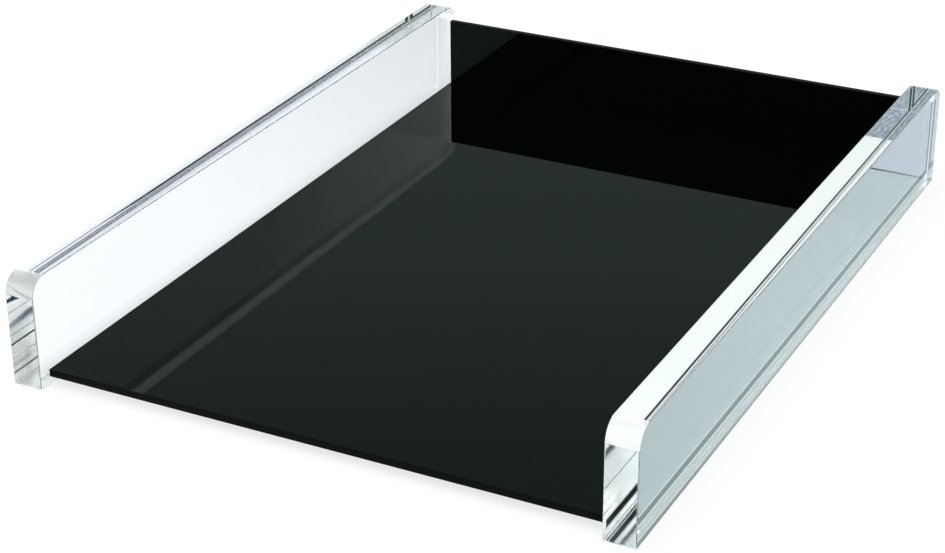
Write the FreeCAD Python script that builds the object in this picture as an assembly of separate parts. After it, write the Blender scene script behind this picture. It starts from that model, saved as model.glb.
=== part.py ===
import FreeCAD, Part
import math
import os

# Open desk tray for letter-size paper: two thick clear acrylic side panels stand on
# their bottom edges and carry a thin black floor sheet and a thin black back sheet,
# all butt-cemented.
# Frame: millimetres, +Z up. X runs across the tray, Y from its open front to its back.
# The origin is on the desk, under the centre of the whole tray.

# Tray bay
BAY_WIDTH = 233.0  # clear width between the two side panels

# Side panels, with their polished and rounded profile
PANEL_THICKNESS = 12.7
PANEL_LENGTH = 342.9
PANEL_HEIGHT = 46.2
FRONT_TOP_RADIUS = 8.0
REAR_TOP_RADIUS = 6.0
FOOT_RADIUS = 0.8  # the two bottom corners of the profile
EDGE_POLISH_RADIUS = 0.4  # soft edge that polishing leaves round both faces

# Black sheets
SHEET_THICKNESS = 3.0
FLOOR_CLEARANCE = 3.4  # desk to the underside of the floor sheet
FLOOR_FRONT_SETBACK = 5.8  # panel fronts to the front edge of the floor sheet
BACK_REAR_SETBACK = 1.0  # panel rears to the rear face of the back sheet
BACK_TOP_DROP = 7.6  # panel tops down to the top edge of the back sheet
SHEET_EDGE_CHAMFER = 0.25  # scraped edge along each free edge of a sheet

# Places that follow from the sizes above
FRONT_Y = -PANEL_LENGTH / 2
REAR_Y = PANEL_LENGTH / 2
BAY_LEFT_X = -BAY_WIDTH / 2
BAY_RIGHT_X = BAY_WIDTH / 2
FLOOR_TOP_Z = FLOOR_CLEARANCE + SHEET_THICKNESS
BACK_REAR_Y = REAR_Y - BACK_REAR_SETBACK
BACK_TOP_Z = PANEL_HEIGHT - BACK_TOP_DROP


def point(x, y, z):
    return FreeCAD.Vector(x, y, z)


def corner_arc(x, centre_y, centre_z, radius, start_degrees):
    """A quarter circle, turning clockwise as seen from +X, in the plane at x."""
    on_arc = []
    for turn in (0, 45, 90):
        angle = math.radians(start_degrees - turn)
        y = centre_y + radius * math.cos(angle)
        z = centre_z + radius * math.sin(angle)
        on_arc.append(point(x, y, z))
    return Part.Arc(*on_arc).toShape()


def panel_outline(x):
    """Closed profile of a side panel in the plane at x, from the front foot round the top."""
    arcs = [
        corner_arc(x, FRONT_Y + FOOT_RADIUS, FOOT_RADIUS, FOOT_RADIUS, 270),
        corner_arc(x, FRONT_Y + FRONT_TOP_RADIUS, PANEL_HEIGHT - FRONT_TOP_RADIUS,
                   FRONT_TOP_RADIUS, 180),
        corner_arc(x, REAR_Y - REAR_TOP_RADIUS, PANEL_HEIGHT - REAR_TOP_RADIUS,
                   REAR_TOP_RADIUS, 90),
        corner_arc(x, REAR_Y - FOOT_RADIUS, FOOT_RADIUS, FOOT_RADIUS, 0),
    ]
    edges = []
    for arc, following in zip(arcs, arcs[1:] + arcs[:1]):
        start = arc.Vertexes[-1].Point
        end = following.Vertexes[0].Point
        edges.append(arc)
        edges.append(Part.LineSegment(start, end).toShape())
    return Part.Wire(edges)


def side_panel(inner_x, outward):
    """One clear panel. outward is -1 for the left panel and +1 for the right one."""
    outline = Part.Face(panel_outline(inner_x))
    blank = outline.extrude(point(outward * PANEL_THICKNESS, 0, 0))
    rim = [edge for edge in blank.Edges if is_rim_edge(edge, inner_x, outward)]
    return blank.makeFillet(EDGE_POLISH_RADIUS, rim)


def is_rim_edge(edge, inner_x, outward):
    """True for an edge that lies wholly in one of the panel's two flat faces."""
    tolerance = 1e-6
    box = edge.BoundBox
    if box.XLength > tolerance:
        return False
    faces = (inner_x, inner_x + outward * PANEL_THICKNESS)
    return any(abs(box.XMin - x) < tolerance for x in faces)


def sheet(low, high):
    """A flat rectangular sheet between two opposite corners."""
    size = high - low
    return Part.makeBox(size.x, size.y, size.z, low)


def chamfer_cross_edges(solid, places):
    """Chamfer the edges that run across the tray at the given (y, z) places."""
    tolerance = 1e-6
    chosen = []
    for edge in solid.Edges:
        box = edge.BoundBox
        runs_across = box.YLength < tolerance and box.ZLength < tolerance
        if runs_across and any(
                abs(box.YMin - y) < tolerance and abs(box.ZMin - z) < tolerance
                for y, z in places):
            chosen.append(edge)
    return solid.makeChamfer(SHEET_EDGE_CHAMFER, chosen)


def floor_sheet():
    front_y = FRONT_Y + FLOOR_FRONT_SETBACK
    low = point(BAY_LEFT_X, front_y, FLOOR_CLEARANCE)
    high = point(BAY_RIGHT_X, BACK_REAR_Y, FLOOR_TOP_Z)
    free_edges = [(front_y, FLOOR_CLEARANCE), (front_y, FLOOR_TOP_Z)]
    return chamfer_cross_edges(sheet(low, high), free_edges)


def back_sheet():
    front_y = BACK_REAR_Y - SHEET_THICKNESS
    low = point(BAY_LEFT_X, front_y, FLOOR_TOP_Z)
    high = point(BAY_RIGHT_X, BACK_REAR_Y, BACK_TOP_Z)
    free_edges = [(front_y, BACK_TOP_Z), (BACK_REAR_Y, BACK_TOP_Z)]
    return chamfer_cross_edges(sheet(low, high), free_edges)


PIECES = {
    "left_side_panel": side_panel(BAY_LEFT_X, -1),
    "right_side_panel": side_panel(BAY_RIGHT_X, 1),
    "floor_sheet": floor_sheet(),
    "back_sheet": back_sheet(),
}

os.makedirs("parts", exist_ok=True)
for name, shape in PIECES.items():
    shape.exportStep(os.path.join("parts", name + ".step"))
    box = shape.optimalBoundingBox()
    print(name, "valid" if shape.isValid() else "INVALID", len(shape.Solids), "solid,",
          round(shape.Volume), "mm3,", [round(v, 2) for v in (
              box.XMin, box.YMin, box.ZMin, box.XMax, box.YMax, box.ZMax)])
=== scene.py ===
import math

import bmesh
import bpy
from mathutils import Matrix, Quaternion, Vector

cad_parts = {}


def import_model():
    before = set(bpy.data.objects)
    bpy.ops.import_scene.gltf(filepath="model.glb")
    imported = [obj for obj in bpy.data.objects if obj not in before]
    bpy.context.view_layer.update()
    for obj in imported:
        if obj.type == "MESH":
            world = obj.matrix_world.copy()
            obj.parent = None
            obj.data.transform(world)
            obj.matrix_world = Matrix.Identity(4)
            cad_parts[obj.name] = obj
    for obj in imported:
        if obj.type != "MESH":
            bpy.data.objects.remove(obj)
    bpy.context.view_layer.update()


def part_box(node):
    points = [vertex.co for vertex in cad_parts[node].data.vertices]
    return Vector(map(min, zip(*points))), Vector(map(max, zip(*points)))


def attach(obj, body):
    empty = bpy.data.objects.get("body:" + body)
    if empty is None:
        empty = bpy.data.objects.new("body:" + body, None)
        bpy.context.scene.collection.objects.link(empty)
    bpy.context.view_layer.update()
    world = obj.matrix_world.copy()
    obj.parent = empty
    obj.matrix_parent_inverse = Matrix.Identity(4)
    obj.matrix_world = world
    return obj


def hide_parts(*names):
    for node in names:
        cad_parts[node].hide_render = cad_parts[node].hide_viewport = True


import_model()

# Looks of an acrylic letter tray: two clear side panels, a black floor sheet and a black back
# sheet, round the construction's own solids. Lengths are in metres.

MM = 0.001

# Shape of the side panels, as in the construction
FRONT_TOP_RADIUS = 8.0 * MM
REAR_TOP_RADIUS = 6.0 * MM
FOOT_RADIUS = 0.8 * MM
EDGE_POLISH_RADIUS = 0.4 * MM
TOP_SEGMENTS = 48
FOOT_SEGMENTS = 8
RIM_SEGMENTS = 6

# Edges and ends of the black sheets
SCRAPED_RADIUS = 0.3 * MM
SCRAPED_SEGMENTS = 6
SQUARE_RADIUS = SCRAPED_RADIUS / 20
SQUARE_SEGMENTS = 2
MATT_END_WIDTH = 0.7 * MM  # matt line that the cement leaves along both ends of a sheet
SHEET_AIR = 0.02 * MM  # air beside both ends of a sheet, where the cement didn't reach

# Cement joints
BOND_DEPTH = 0.02 * MM  # how far the cemented faces bite into a panel
LEFT_LINE_WIDTH = 0.15 * MM  # dark line round the left joint
RIGHT_LINE_WIDTH = 0.8 * MM  # pale line of dried cement round the right joint
REAR_LINE_WIDTH = 0.5 * MM  # widest line behind the back sheet, where a panel's rim is near
DRY_FRONT_LENGTH = 72.0 * MM  # foremost part of the left joint, wetted only at its top
DRY_TAPER_LENGTH = 28.0 * MM  # part behind it, over which the wetting grows to the full height
WET_TOP_HEIGHT = 0.55 * MM  # height that is wetted in the foremost part

# Material slots of a clear panel, and of a black sheet
(OUTER_FACE, POLISHED_EDGE, SUNK_FACE, JOINT_LINE,
 BOTTOM, TOP_CORNERS, BOTTOM_RIMS, INNER_FACE) = range(8)
GLOSS_FACE, SAWN_EDGE = range(2)

# How far a face has to lean for its slot, as parts of its normal
BOTTOM_LEAN = 0.99  # down
TOP_CORNER_LEAN = 0.04  # up, and to the front or rear
BOTTOM_RIM_LEAN = 0.1  # down, and to a side
GLOSS_LEAN = 0.999  # along the sheet's thickness

# Acrylic
ACRYLIC_COLOUR = (0.985, 0.995, 1.0, 1)
ACRYLIC_IOR = 1.49
MIRROR_TINT = 2.4  # painted reflection: tint of what the large clear faces mirror head-on; plain acrylic has 1
# painted reflection, stronger still, on the right panel's inner face
RIGHT_INNER_MIRROR_TINT = 5.0
HAIRLINE_NOISE = (0.66, 0.74)
HAIRLINE_ROUGHNESS = 0.06
BASE_SCRAPED_Y = (-130.0 * MM, -100.0 * MM)  # the base's polish ends over this stretch
BASE_SCRAPED_ROUGHNESS = 0.16
WIPING_NOISE = (0.4, 0.65)
WIPING_ROUGHNESS = 0.012

# Bubbles in the cement: most of them lie in the left joint, between these two stretches of y
BUBBLES = ((0.42, (0.002, 0.003, 0.003)), (0.6, (0.12, 0.22, 0.4)))  # colours by noise
BUBBLES_FROM_Y = (-120.0 * MM, -80.0 * MM)
BUBBLES_TO_Y = (-60.0 * MM, -40.0 * MM)
FRONT_BUBBLE_SHARE = 0.15
OTHER_BUBBLE_SHARE = 0.1  # behind them, and in the right joint

# Camera: fitted to the straight edges of the tray
CAMERA_PLACE = Vector((0.3712, -0.7673, 0.4205))
CAMERA_AIM = Vector((-0.0141, -0.0108, 0.0))
CAMERA_ROLL = math.radians(-0.235)
CAMERA_LENS = 86.15  # mm
CAMERA_SENSOR = 36.0  # mm across
CAMERA_CLIP_START = 10.0 * MM

# Lamp and light paths
KEY_IRRADIANCE = 0.3
KEY_ANGLE = math.radians(60)
KEY_TURN = (math.radians(12), math.radians(10), 0)
LIGHT_BOUNCES = 40  # light runs along the panels by many total reflections

# Extent of the desk and of its patches
DESK_SIZE = 6.0
DESK_GAP = 0.05 * MM  # air under the panels, so that light leaves their feet
PATCH_LIFT = 0.01 * MM  # from each layer of patches to the next
SIDES_X = (-50.0 * MM, 50.0 * MM)  # the left side's looks change into the right side's here
SHADE_FRONT_SETBACK = 6.0 * MM  # from the floor sheet's front edge back to the painted shade under it
SHADE_UNDER_LEFT = 1.2 * MM  # how far that painted shade reaches under the left panel,
SHADE_UNDER_RIGHT = 0.4 * MM  # and under the right one
LEFT_SHADOW_WIDTH = 10.0 * MM  # soft shadow on the desk to the left of the tray
LEFT_SHADOW_CORE = 2.0 * MM  # and its deepest part, next to the tray
LEFT_SHADOW_END_Y = 250.0 * MM
REAR_SHADE_LENGTH = 35.0 * MM  # bluish shade under the rear end of the right panel
SEAM_Y = 171.5 * MM  # a dark line across the desk, which the right panel mirrors
SEAM_WIDTH = 2.0 * MM
SEAM_FADE_FROM = 0.6  # share of that width before the seam fades

# Looks of the desk: painted light, the glow colours that clear and glossy surfaces show of it
DESK_LEFT = (1.25, 1.28, 1.31)  # on the left side of the tray
DESK_RIGHT = (1.06, 1.26, 1.30)  # and on its right side
DESK_REAR_SHARE = 0.85  # brightness left towards the rear
DESK_REAR_Y = (0.0, 250.0 * MM)
DESK_FRONT_SHARE = 0.3  # and, in gloss only, in front, so that the front ends mirror little
DESK_FRONT_Y = (-190.0 * MM, -180.0 * MM)
UNDER_LEFT_OUTER = (1.24, 1.28, 1.28)  # under the left panel, at its outer side
UNDER_LEFT_INNER = (0.78, 0.81, 0.95)  # and at the bay side, with painted shade
UNDER_LEFT_X = (-124.0 * MM, -117.7 * MM)
UNDER_LEFT_REAR = (0.72, 0.78, 0.79)  # and towards the rear, with painted shade
UNDER_LEFT_REAR_Y = (130.0 * MM, 148.0 * MM)
UNDER_RIGHT = (1.03, 1.09, 1.08)  # under the right panel
LEFT_SHADOW_SHARE = 0.78  # brightness left in the core of the shadow to the left
REAR_SHADE_NOISE = (0.42, 0.68)
REAR_SHADE_DARK = (0.12, 0.18, 0.26)
REAR_SHADE_PALE = (0.5, 0.58, 0.65)
SEAM_NEAR = (0.5, 0.58, 0.62)  # the seam beside the tray
SEAM_FAR = (0.06, 0.08, 0.1)  # and away from it
SEAM_X = (135.0 * MM, 158.0 * MM)
DESK_BEHIND = (1.02, 1.17, 1.30)  # beyond the seam

# Looks of the desk: what the camera sees of it
DESK_IN_VIEW = (1.04, 1.04, 1.04)
DESK_SHADOW_SHARE = 0.28  # share of the shaded desk, with the tray's shadow, mixed into that

# The room by direction, with x to the right, y to the rear and z up
ROOM_BEHIND = (  # by z: white at the desk's level, then the grey wall, then white overhead
    (0.06, (1, 1, 1)), (0.2, (0.2736, 0.36, 0.3528)), (0.36, (0.3276, 0.42, 0.4116)),
    (0.44, (0.39, 0.5, 0.49)), (0.52, (0.3432, 0.44, 0.4312)), (1.0, (1.2, 1.2, 1.2)))
ROOM_RIGHT = (0.04, 0.045, 0.045)  # the same wall further to the right
ROOM_RIGHT_X = (0.05, 0.25)
ROOM_FRONT = (1.1, 1.1, 1.1)  # beside and in front of the tray
ROOM_FRONT_Y = (0.4, 0.6)

# The room as the clear panels show it: white all round, but not between these two stretches
# of x, where the floor sheet mirrors the grey wall through the left panel
ROOM_IN_GLASS = (1.1, 1.17, 1.15)
FLOOR_VIEW_LEFT_X = (-0.563, -0.551)
FLOOR_VIEW_RIGHT_X = (-0.49, -0.405)


# ---------------------------------------------------------------- node helpers

def set_inputs(node, inputs):
    """Set the inputs of a node by name, with _ for a space."""
    for name, value in inputs.items():
        node.inputs[name.replace("_", " ")].default_value = value


def new_material(name, **inputs):
    """A new material and its Principled shader, whose inputs are set by name."""
    material = bpy.data.materials.new(name)
    material.use_nodes = True
    shader = material.node_tree.nodes["Principled BSDF"]
    set_inputs(shader, inputs)
    return material, shader


def add(tree, kind, **inputs):
    """Add a node, whose inputs are set by name."""
    node = tree.nodes.new(kind)
    set_inputs(node, inputs)
    return node


def coordinates(tree, kind):
    """The x, y and z sockets of a texture coordinate, such as Object."""
    place = add(tree, "ShaderNodeTexCoord")
    split = add(tree, "ShaderNodeSeparateXYZ")
    tree.links.new(place.outputs[kind], split.inputs["Vector"])
    return split.outputs["X"], split.outputs["Y"], split.outputs["Z"]


def noise(tree, scale, detail, stretch=(1, 1, 1), turn=(0, 0, 0)):
    """Noise in the object's own metres; stretch squeezes it along an axis."""
    place = add(tree, "ShaderNodeTexCoord")
    mapping = add(tree, "ShaderNodeMapping", Scale=stretch, Rotation=turn)
    texture = add(tree, "ShaderNodeTexNoise", Scale=scale, Detail=detail)
    tree.links.new(place.outputs["Object"], mapping.inputs["Vector"])
    tree.links.new(mapping.outputs["Vector"], texture.inputs["Vector"])
    return texture.outputs["Fac"]


def remap(tree, value, source, target=(0, 1)):
    """Map value from the range source to the range target, clamped."""
    node = add(tree, "ShaderNodeMapRange", From_Min=source[0], From_Max=source[1],
               To_Min=target[0], To_Max=target[1])
    tree.links.new(value, node.inputs["Value"])
    return node.outputs["Result"]


def calculate(tree, operation, first, second):
    """Combine two numbers by a math operation, such as MAXIMUM."""
    node = add(tree, "ShaderNodeMath")
    node.operation = operation
    tree.links.new(first, node.inputs[0])
    tree.links.new(second, node.inputs[1])
    return node.outputs["Value"]


def ramp(tree, factor, stops):
    """Colours blended along factor. stops are (position, RGB triple) pairs in rising order."""
    node = add(tree, "ShaderNodeValToRGB")
    elements = node.color_ramp.elements
    elements[0].position = stops[0][0]
    elements[1].position = stops[-1][0]
    for position, _ in stops[1:-1]:
        elements.new(position)
    for element, (_, colour) in zip(elements, stops):
        element.color = (*colour, 1)
    tree.links.new(factor, node.inputs["Fac"])
    return node.outputs["Color"]


def mix_colours(tree, factor, first, second):
    """Mix two colours, each of them a socket or an RGB triple."""
    node = add(tree, "ShaderNodeMix")
    node.data_type = "RGBA"
    # by number, because the sockets for other kinds of data have the same names
    first_socket, second_socket, result = node.inputs[6], node.inputs[7], node.outputs[2]
    tree.links.new(factor, node.inputs["Factor"])
    for colour, socket in ((first, first_socket), (second, second_socket)):
        if isinstance(colour, tuple):
            socket.default_value = (*colour, 1)
        else:
            tree.links.new(colour, socket)
    return result


def scaled(tree, colour, factor):
    """A colour times a number, both of them sockets."""
    node = add(tree, "ShaderNodeVectorMath")
    node.operation = "SCALE"
    tree.links.new(colour, node.inputs[0])
    tree.links.new(factor, node.inputs["Scale"])
    return node.outputs["Vector"]


def bump(tree, shader, height, distance):
    """Drive the shader's normal from a height socket."""
    node = add(tree, "ShaderNodeBump", Distance=distance)
    tree.links.new(height, node.inputs["Height"])
    tree.links.new(node.outputs["Normal"], shader.inputs["Normal"])


# ---------------------------------------------------------------- materials

def acrylic(name, **changes):
    """Clear acrylic and its shader; changes are inputs that differ from plain acrylic."""
    inputs = {"Base_Color": ACRYLIC_COLOUR, "Transmission_Weight": 1.0, "IOR": ACRYLIC_IOR,
              "Roughness": 0.0}
    inputs.update(changes)
    return new_material(name, **inputs)


def clear_acrylic(name, mirror_tint):
    """A large cast face, with a few hairline scratches along the panel."""
    # Painted reflection: a mirror tint above 1 makes the face mirror more than acrylic does.
    material, shader = acrylic(name, Specular_Tint=(mirror_tint, mirror_tint, mirror_tint, 1))
    tree = material.node_tree
    hairlines = noise(tree, scale=900.0, detail=2.0, stretch=(1.0, 0.01, 1.0),
                      turn=(math.radians(7), 0, 0))
    roughness = remap(tree, hairlines, HAIRLINE_NOISE, (0, HAIRLINE_ROUGHNESS))
    tree.links.new(roughness, shader.inputs["Roughness"])
    return material


def polished_edge():
    """The sawn and polished edges, with the slight ripple that polishing leaves."""
    material, shader = acrylic("polished_edge")
    tree = material.node_tree
    bump(tree, shader, noise(tree, scale=120.0, detail=1.0), distance=0.002 * MM)
    return material


def buffed_corner(name, colour, clear_share):
    """The rounded top corners, buffed by hand: a little hazy and uneven."""
    material, shader = acrylic(name, Base_Color=colour, Roughness=0.04,
                               Transmission_Weight=clear_share)
    tree = material.node_tree
    bump(tree, shader, noise(tree, scale=300.0, detail=2.0), distance=0.02 * MM)
    return material


def scraped_rim():
    """The rims along the bottom edge, scraped matt."""
    material, _ = acrylic("scraped_rim", Roughness=0.4, Transmission_Weight=0.35)
    return material


def sawn_base(name, clear_share, front_roughness):
    """The bottom edge: polished at its front, behind that only scraped, so that far things
    wash out."""
    material, shader = acrylic(name, Transmission_Weight=clear_share)
    tree = material.node_tree
    _, y, _ = coordinates(tree, "Object")
    roughness = remap(tree, y, BASE_SCRAPED_Y, (front_roughness, BASE_SCRAPED_ROUGHNESS))
    tree.links.new(roughness, shader.inputs["Roughness"])
    streaks = noise(tree, scale=900.0, detail=2.0, stretch=(1.0, 0.02, 1.0))
    bump(tree, shader, streaks, distance=0.001 * MM)
    return material


def dried_cement():
    """Cement squeezed out along a joint, dried to a pale line."""
    material, _ = new_material("dried_cement", Base_Color=(0.9, 0.94, 0.94, 1), Roughness=0.5)
    return material


def bond():
    """The black of a sheet's end seen through the cement, and the cement's pale bubbles."""
    material, shader = new_material("cement_bond", Roughness=1.0, Specular_IOR_Level=0.0)
    tree = material.node_tree
    bubbles = noise(tree, scale=700.0, detail=3.0, stretch=(1.0, 0.5, 1.0))
    colour = ramp(tree, bubbles, BUBBLES)
    x, y, _ = coordinates(tree, "Object")
    for axis, stretch, shares in ((y, BUBBLES_FROM_Y, (FRONT_BUBBLE_SHARE, 1)),
                                  (y, BUBBLES_TO_Y, (1, OTHER_BUBBLE_SHARE)),
                                  (x, SIDES_X, (1, OTHER_BUBBLE_SHARE))):
        colour = scaled(tree, colour, remap(tree, axis, stretch, shares))
    tree.links.new(colour, shader.inputs["Base Color"])
    return material


def black_acrylic():
    """The large faces of the black sheets, glossy and with faint marks of wiping."""
    material, shader = new_material(
        "black_acrylic", Base_Color=(0.0003, 0.0008, 0.0005, 1), IOR=ACRYLIC_IOR,
        Specular_IOR_Level=0.11, Specular_Tint=(0.7, 1.0, 0.96, 1))
    tree = material.node_tree
    wiping = noise(tree, scale=60.0, detail=5.0, stretch=(1.0, 0.3, 1.0),
                   turn=(0, 0, math.radians(20)))
    roughness = remap(tree, wiping, WIPING_NOISE, (0, WIPING_ROUGHNESS))
    tree.links.new(roughness, shader.inputs["Roughness"])
    return material


def black_edge():
    """The sawn and scraped edges of the black sheets, and the dark line round the left joint."""
    material, _ = new_material("black_sawn_edge", Base_Color=(0.0015, 0.0025, 0.002, 1),
                               Specular_IOR_Level=0.04, Roughness=0.35)
    return material


# ---------------------------------------------------------------- mesh helpers

class Shell:
    """A mesh under construction that keeps the exact surface normal of every vertex."""

    def __init__(self):
        self.mesh = bmesh.new()
        self.normals = {}

    def ring(self, places_and_normals):
        """A closed loop of vertices from (place, normal) pairs."""
        loop = []
        for place, normal in places_and_normals:
            vertex = self.mesh.verts.new(place)
            self.normals[vertex] = normal
            loop.append(vertex)
        return loop

    def face(self, corners, slot):
        """One face with the given material slot."""
        made = self.mesh.faces.new(corners)
        made.material_index = slot
        made.smooth = True

    def band(self, first, second, slot):
        """The faces between two loops of as many vertices."""
        for here, there, there_next, here_next in zip(
                first, second, second[1:] + second[:1], first[1:] + first[:1]):
            self.face((here, here_next, there_next, there), slot)

    def loop_edges(self, loop):
        """The edges round a loop of vertices, made where they are missing."""
        pairs = zip(loop, loop[1:] + loop[:1])
        return [self.mesh.edges.get(pair) or self.mesh.edges.new(pair) for pair in pairs]

    def cap_between(self, outer, inner, slot):
        """Fill the flat area between two loops, one inside the other."""
        edges = self.loop_edges(outer) + self.loop_edges(inner)
        filled = bmesh.ops.triangle_fill(self.mesh, use_beauty=True, edges=edges)
        for item in filled["geom"]:
            if isinstance(item, bmesh.types.BMFace):
                item.material_index = slot
                item.smooth = True

    def finish(self, name, materials):
        """The finished object, linked into the scene."""
        bmesh.ops.recalc_face_normals(self.mesh, faces=self.mesh.faces)
        self.turn_outwards()
        normals = [self.normals[vertex] for vertex in self.mesh.verts]
        data = bpy.data.meshes.new(name)
        self.mesh.to_mesh(data)
        self.mesh.free()
        data.normals_split_custom_set_from_vertices(normals)
        for material in materials:
            data.materials.append(material)
        piece = bpy.data.objects.new(name, data)
        bpy.context.scene.collection.objects.link(piece)
        return piece

    def turn_outwards(self):
        """Flip each face that is wound against the stored normals of its vertices.

        A face that stands square to them, such as the lip of a sunk face, stays as it is.
        """
        clearly_against = -1.0
        for made in self.mesh.faces:
            wanted = sum((self.normals[vertex] for vertex in made.verts), Vector())
            if made.normal.dot(wanted) < clearly_against:
                made.normal_flip()


def four_corners(low, high, radii, segments):
    """A profile's rounded corners, as (centre y, centre z, radius, start degrees, segments).

    They come as front foot, front top, rear top and rear foot, as do radii and segments.
    """
    sharp = ((low.y, low.z, 1, 1, 270), (low.y, high.z, 1, -1, 180),
             (high.y, high.z, -1, -1, 90), (high.y, low.z, -1, 1, 0))
    return [(y + in_y * radius, z + in_z * radius, radius, start, count)
            for (y, z, in_y, in_z, start), radius, count in zip(sharp, radii, segments)]


def rounded_profile(corners, inset=0.0):
    """(y, z, direction) along arcs that turn clockwise as seen from +X, moved in by inset."""
    points = []
    for centre_y, centre_z, radius, start, segments in corners:
        for step in range(segments + 1):
            angle = math.radians(start - 90.0 * step / segments)
            direction = Vector((0, math.cos(angle), math.sin(angle)))
            y = centre_y + (radius - inset) * direction.y
            z = centre_z + (radius - inset) * direction.z
            points.append((y, z, direction))
    return points


# ---------------------------------------------------------------- clear side panels

def bond_outline(spread, dry_front):
    """L-shaped outline, as (y, z) points, where the two black sheets meet a panel.

    It is widened by spread. With dry_front, the foremost part covers only the top of the joint.
    """
    floor_low, floor_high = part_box("floor_sheet")
    back_low, back_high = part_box("back_sheet")
    front, rear = floor_low.y - spread, back_high.y + min(spread, REAR_LINE_WIDTH)
    foot, floor_top = floor_low.z - spread, floor_high.z + spread
    back_front, back_top = back_low.y - spread, back_high.z + spread
    outline = [(front, foot)]
    if dry_front:
        wet_from_y = floor_low.y + DRY_FRONT_LENGTH
        wet_foot = floor_high.z - WET_TOP_HEIGHT - spread
        outline = [(wet_from_y + DRY_TAPER_LENGTH, foot), (wet_from_y, wet_foot),
                   (front, wet_foot)]
    return outline + [(front, floor_top), (back_front, floor_top), (back_front, back_top),
                      (rear, back_top), (rear, foot)]


def side_panel(node, name, outward, inner_face, base, buffed, line_width, line_material,
               dry_front):
    """A clear panel with softly polished rims, and a sunk black face at its joint.

    outward is -1 for the left panel and +1 for the right one. line_width and line_material
    are those of the cement line round the sunk face.
    """
    low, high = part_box(node)
    inner_x, outer_x = (low.x, high.x) if outward > 0 else (high.x, low.x)
    shell = Shell()
    rings = panel_rings(shell, low, high, ((inner_x, -outward), (outer_x, outward)))
    for first, second in zip(rings, rings[1:]):
        shell.band(first, second, POLISHED_EDGE)
    shell.face(rings[-1], OUTER_FACE)
    inward_normal = Vector((-outward, 0, 0))
    sunk_x = inner_x + outward * BOND_DEPTH
    line, lip, sunk = [
        shell.ring([((x, y, z), inward_normal) for y, z in bond_outline(spread, dry_front)])
        for x, spread in ((inner_x, line_width), (inner_x, 0.0), (sunk_x, 0.0))]
    shell.band(line, lip, JOINT_LINE)
    shell.band(lip, sunk, SUNK_FACE)
    shell.face(sunk, SUNK_FACE)
    shell.cap_between(rings[0], line, INNER_FACE)
    panel = shell.finish(name, (CLEAR, EDGE, BOND, line_material, base, buffed, RIM, inner_face))
    sort_edge_faces(panel.data)
    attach(panel, "root")
    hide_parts(node)


def panel_rings(shell, low, high, sides):
    """Loops round a panel, from one flat face over both rims to the other flat face.

    sides gives x and the outward direction, -1 or +1, of the first and of the second face.
    """
    corners = four_corners(
        low, high, radii=(FOOT_RADIUS, FRONT_TOP_RADIUS, REAR_TOP_RADIUS, FOOT_RADIUS),
        segments=(FOOT_SEGMENTS, TOP_SEGMENTS, TOP_SEGMENTS, FOOT_SEGMENTS))
    outwards = range(RIM_SEGMENTS + 1)
    rings = []
    for (face_x, facing), steps in zip(sides, (outwards, reversed(outwards))):
        for step in steps:
            turn = math.radians(90.0 * step / RIM_SEGMENTS)
            x = face_x - facing * EDGE_POLISH_RADIUS * (1 - math.cos(turn))
            inset = EDGE_POLISH_RADIUS * (1 - math.sin(turn))
            flat = Vector((facing * math.cos(turn), 0, 0))
            rings.append(shell.ring([
                ((x, y, z), flat + math.sin(turn) * direction)
                for y, z, direction in rounded_profile(corners, inset)]))
    return rings


def sort_edge_faces(data):
    """Give the bottom edge, the top corners and the bottom rims of a panel their own slots."""
    for polygon in data.polygons:
        if polygon.material_index != POLISHED_EDGE:
            continue
        normal = polygon.normal
        if normal.z < -BOTTOM_LEAN:
            polygon.material_index = BOTTOM
        elif normal.z > TOP_CORNER_LEAN and abs(normal.y) > TOP_CORNER_LEAN:
            polygon.material_index = TOP_CORNERS
        elif normal.z < -BOTTOM_RIM_LEAN and abs(normal.x) > BOTTOM_RIM_LEAN:
            polygon.material_index = BOTTOM_RIMS


# ---------------------------------------------------------------- black sheets

def black_sheet(node, name, scraped):
    """A black sheet whose free edges are scraped round.

    scraped says which corners of its profile are: front foot, front top, rear top, rear foot.
    """
    low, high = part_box(node)
    low.x += SHEET_AIR
    high.x -= SHEET_AIR
    radii = [SCRAPED_RADIUS if corner else SQUARE_RADIUS for corner in scraped]
    segments = [SCRAPED_SEGMENTS if corner else SQUARE_SEGMENTS for corner in scraped]
    profile = rounded_profile(four_corners(low, high, radii, segments))
    shell = Shell()
    places = (low.x, low.x + MATT_END_WIDTH, high.x - MATT_END_WIDTH, high.x)
    rings = [shell.ring([((x, y, z), direction) for y, z, direction in profile])
             for x in places]
    for first, second, slot in zip(rings, rings[1:], (SAWN_EDGE, GLOSS_FACE, SAWN_EDGE)):
        shell.band(first, second, slot)
    for x, facing in ((low.x, -1), (high.x, 1)):
        end = shell.ring([((x, y, z), Vector((facing, 0, 0))) for y, z, _ in profile])
        shell.face(end, SAWN_EDGE)
    sheet = shell.finish(name, (BLACK, BLACK_EDGE))
    mark_sawn_edges(sheet.data, low, high)
    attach(sheet, "root")
    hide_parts(node)


def mark_sawn_edges(data, low, high):
    """Give the sawn edge's slot to every face outside the sheet's two large faces."""
    thin_axis = 1 if high.y - low.y < high.z - low.z else 2
    for polygon in data.polygons:
        if abs(polygon.normal[thin_axis]) < GLOSS_LEAN:
            polygon.material_index = SAWN_EDGE


# ---------------------------------------------------------------- stage

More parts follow.
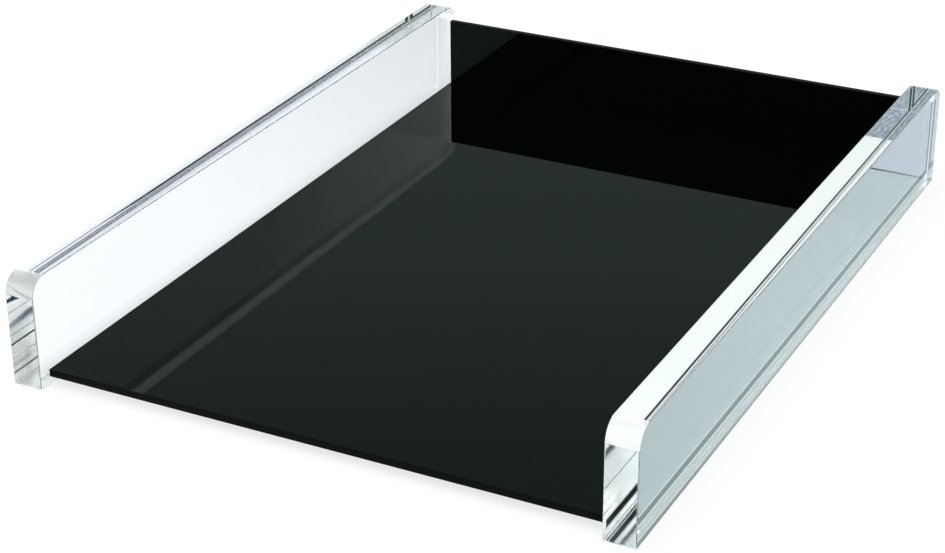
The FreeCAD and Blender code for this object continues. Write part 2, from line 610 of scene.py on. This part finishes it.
def desk():
    """The white desk, and patches with the shades and colours that the glass shows of it."""
    half = DESK_SIZE / 2
    floor_low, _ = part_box("floor_sheet")
    left_low, left_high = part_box("left_side_panel")
    right_low, right_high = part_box("right_side_panel")
    rear = left_high.y
    shade_left = left_high.x - SHADE_UNDER_LEFT
    shade_right = right_low.x + SHADE_UNDER_RIGHT
    patch("desk", (-half, -half), (half, half), desk_white("desk_white", side_colour), layer=0)
    patch("desk_under_floor", (shade_left, floor_low.y + SHADE_FRONT_SETBACK),
          (shade_right, rear), desk_shaded())
    patch("desk_under_left", (left_low.x, left_low.y), (shade_left, rear),
          desk_white("desk_under_left", under_left_colour))
    patch("desk_under_right", (shade_right, right_low.y), (right_high.x, rear),
          desk_white("desk_under_right", under_right_colour))
    patch("desk_left_shadow", (left_low.x - LEFT_SHADOW_WIDTH, left_low.y),
          (left_low.x, LEFT_SHADOW_END_Y), desk_white("desk_left_shadow", left_shadow_colour))
    patch("desk_right_rear", (shade_right, rear - REAR_SHADE_LENGTH), (right_high.x, rear),
          desk_white("desk_right_rear", rear_shade_colour), layer=2)
    patch("desk_behind", (right_high.x, SEAM_Y), (half, half),
          desk_white("desk_behind", behind_colour))


def patch(name, low, high, material, layer=1):
    """A flat rectangle of the stage between two (x, y) corners. The desk itself is layer 0."""
    z = layer * PATCH_LIFT - DESK_GAP
    data = bpy.data.meshes.new(name)
    corners = [(low[0], low[1], z), (high[0], low[1], z), (high[0], high[1], z),
               (low[0], high[1], z)]
    data.from_pydata(corners, [], [(0, 1, 2, 3)])
    data.materials.append(material)
    obj = bpy.data.objects.new(name, data)
    bpy.context.scene.collection.objects.link(obj)


def desk_shaded():
    """The desk in the gap under the floor sheet, where hardly any light comes."""
    material, _ = new_material("desk_shaded", Base_Color=(0.2, 0.21, 0.2, 1), Roughness=1.0,
                               Specular_IOR_Level=0.0)
    return material


def side_colour(tree, x, y):
    """One colour on each side of the tray, and less bright towards the rear."""
    side = mix_colours(tree, remap(tree, x, SIDES_X), DESK_LEFT, DESK_RIGHT)
    return scaled(tree, side, remap(tree, y, DESK_REAR_Y, (1, DESK_REAR_SHARE)))


def under_left_colour(tree, x, y):
    """Painted shade: darker towards the bay, and at the rear."""
    across = mix_colours(tree, remap(tree, x, UNDER_LEFT_X), UNDER_LEFT_OUTER, UNDER_LEFT_INNER)
    return mix_colours(tree, remap(tree, y, UNDER_LEFT_REAR_Y), across, UNDER_LEFT_REAR)


def under_right_colour(tree, x, y):
    """The same all over."""
    colour = tree.nodes.new("ShaderNodeRGB")
    colour.outputs["Color"].default_value = (*UNDER_RIGHT, 1)
    return colour.outputs["Color"]


def left_shadow_colour(tree, x, y):
    """As the desk around it, but darker towards the tray."""
    low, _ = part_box("left_side_panel")
    stretch = (low.x - LEFT_SHADOW_WIDTH, low.x - LEFT_SHADOW_CORE)
    return scaled(tree, side_colour(tree, x, y), remap(tree, x, stretch, (1, LEFT_SHADOW_SHARE)))


def rear_shade_colour(tree, x, y):
    """Bluish streaks."""
    streaks = noise(tree, scale=800.0, detail=4.0, stretch=(1.0, 0.35, 1.0))
    return mix_colours(tree, remap(tree, streaks, REAR_SHADE_NOISE),
                       REAR_SHADE_DARK, REAR_SHADE_PALE)


def behind_colour(tree, x, y):
    """Lilac-grey behind the tray, beyond a dark line that is darker away from the tray."""
    seam = mix_colours(tree, remap(tree, x, SEAM_X), SEAM_NEAR, SEAM_FAR)
    fade = (SEAM_Y + SEAM_WIDTH * SEAM_FADE_FROM, SEAM_Y + SEAM_WIDTH)
    return mix_colours(tree, remap(tree, y, fade), seam, DESK_BEHIND)


def desk_white(name, colour_in_glass):
    """Painted light: glass and gloss rays see the desk glow in set colours, and camera rays see
    an even glow mixed with the shaded desk.

    colour_in_glass(tree, x, y) gives the colour that clear and glossy surfaces show.
    """
    material, shader = new_material(name, Base_Color=(0.97, 0.97, 0.97, 1), Roughness=1.0,
                                    Specular_IOR_Level=0.0)
    tree = material.node_tree
    path = add(tree, "ShaderNodeLightPath")
    is_seen, is_glossy = path.outputs["Is Camera Ray"], path.outputs["Is Glossy Ray"]
    in_glass = calculate(tree, "MAXIMUM", is_glossy, path.outputs["Is Transmission Ray"])
    in_view = remap(tree, is_seen, (0, 1), (0, 1 - DESK_SHADOW_SHARE))
    glow_share = calculate(tree, "MAXIMUM", in_glass, in_view)
    x, y, _ = coordinates(tree, "Object")
    shown = colour_in_glass(tree, x, y)
    front_share = remap(tree, y, DESK_FRONT_Y, (DESK_FRONT_SHARE, 1))
    shown = mix_colours(tree, is_glossy, shown, scaled(tree, shown, front_share))
    glow = add(tree, "ShaderNodeEmission")
    tree.links.new(mix_colours(tree, is_seen, shown, DESK_IN_VIEW), glow.inputs["Color"])
    mix = add(tree, "ShaderNodeMixShader")
    tree.links.new(glow_share, mix.inputs["Fac"])
    tree.links.new(shader.outputs["BSDF"], mix.inputs[1])
    tree.links.new(glow.outputs["Emission"], mix.inputs[2])
    tree.links.new(mix.outputs["Shader"], tree.nodes["Material Output"].inputs["Surface"])
    return material


def world():
    """A white room with a greyer wall behind the tray, which the black sheets mirror."""
    scene_world = bpy.data.worlds.new("studio")
    bpy.context.scene.world = scene_world
    scene_world.use_nodes = True
    tree = scene_world.node_tree
    x, y, z = coordinates(tree, "Generated")
    room = ramp(tree, z, ROOM_BEHIND)
    room = mix_colours(tree, remap(tree, x, ROOM_RIGHT_X), room, ROOM_RIGHT)
    room = mix_colours(tree, remap(tree, y, ROOM_FRONT_Y, (1, 0)), room, ROOM_FRONT)
    off_floor = calculate(tree, "MAXIMUM", remap(tree, x, FLOOR_VIEW_LEFT_X, (1, 0)),
                          remap(tree, x, FLOOR_VIEW_RIGHT_X))
    path = add(tree, "ShaderNodeLightPath")
    in_glass = calculate(tree, "MULTIPLY", path.outputs["Is Transmission Ray"], off_floor)
    room = mix_colours(tree, in_glass, room, ROOM_IN_GLASS)
    tree.links.new(room, tree.nodes["Background"].inputs["Color"])


def lamp():
    """A weak, very soft lamp for the tray's shadow."""
    data = bpy.data.lights.new("key", "SUN")
    data.energy = KEY_IRRADIANCE
    data.angle = KEY_ANGLE
    obj = bpy.data.objects.new("key", data)
    obj.rotation_euler = KEY_TURN
    bpy.context.scene.collection.objects.link(obj)


def camera():
    """The scene's camera."""
    data = bpy.data.cameras.new("camera")
    data.sensor_width = CAMERA_SENSOR
    data.lens = CAMERA_LENS
    data.clip_start = CAMERA_CLIP_START
    obj = bpy.data.objects.new("camera", data)
    bpy.context.scene.collection.objects.link(obj)
    look = (CAMERA_AIM - CAMERA_PLACE).to_track_quat("-Z", "Y")
    obj.rotation_mode = "QUATERNION"
    obj.rotation_quaternion = look @ Quaternion((0, 0, 1), CAMERA_ROLL)
    obj.location = CAMERA_PLACE
    bpy.context.scene.camera = obj


CLEAR = clear_acrylic("clear_acrylic", MIRROR_TINT)
# Painted reflection: the right panel's inner face mirrors most strongly.
CLEAR_BRIGHT = clear_acrylic("clear_acrylic_bright", RIGHT_INNER_MIRROR_TINT)
EDGE = polished_edge()
CORNER_LEFT = buffed_corner("buffed_corner_left", colour=(0.92, 0.97, 0.95, 1), clear_share=0.65)
CORNER_RIGHT = buffed_corner("buffed_corner_right", colour=ACRYLIC_COLOUR, clear_share=0.3)
RIM = scraped_rim()
BASE_LEFT = sawn_base("sawn_base_left", clear_share=0.95, front_roughness=0.07)
BASE_RIGHT = sawn_base("sawn_base_right", clear_share=0.97, front_roughness=0.02)
CEMENT = dried_cement()
BOND = bond()
BLACK = black_acrylic()
BLACK_EDGE = black_edge()

camera()
side_panel("left_side_panel", "left_clear_panel", outward=-1, inner_face=CLEAR, base=BASE_LEFT,
           buffed=CORNER_LEFT, line_width=LEFT_LINE_WIDTH, line_material=BLACK_EDGE,
           dry_front=True)
side_panel("right_side_panel", "right_clear_panel", outward=1, inner_face=CLEAR_BRIGHT,
           base=BASE_RIGHT, buffed=CORNER_RIGHT, line_width=RIGHT_LINE_WIDTH,
           line_material=CEMENT, dry_front=False)
black_sheet("floor_sheet", "black_floor", scraped=(True, True, False, False))
black_sheet("back_sheet", "black_back", scraped=(False, True, True, False))
desk()
world()
lamp()

scene = bpy.context.scene
scene.view_settings.view_transform = "Standard"
scene.cycles.max_bounces = LIGHT_BOUNCES
scene.cycles.glossy_bounces = LIGHT_BOUNCES
scene.cycles.transmission_bounces = LIGHT_BOUNCES
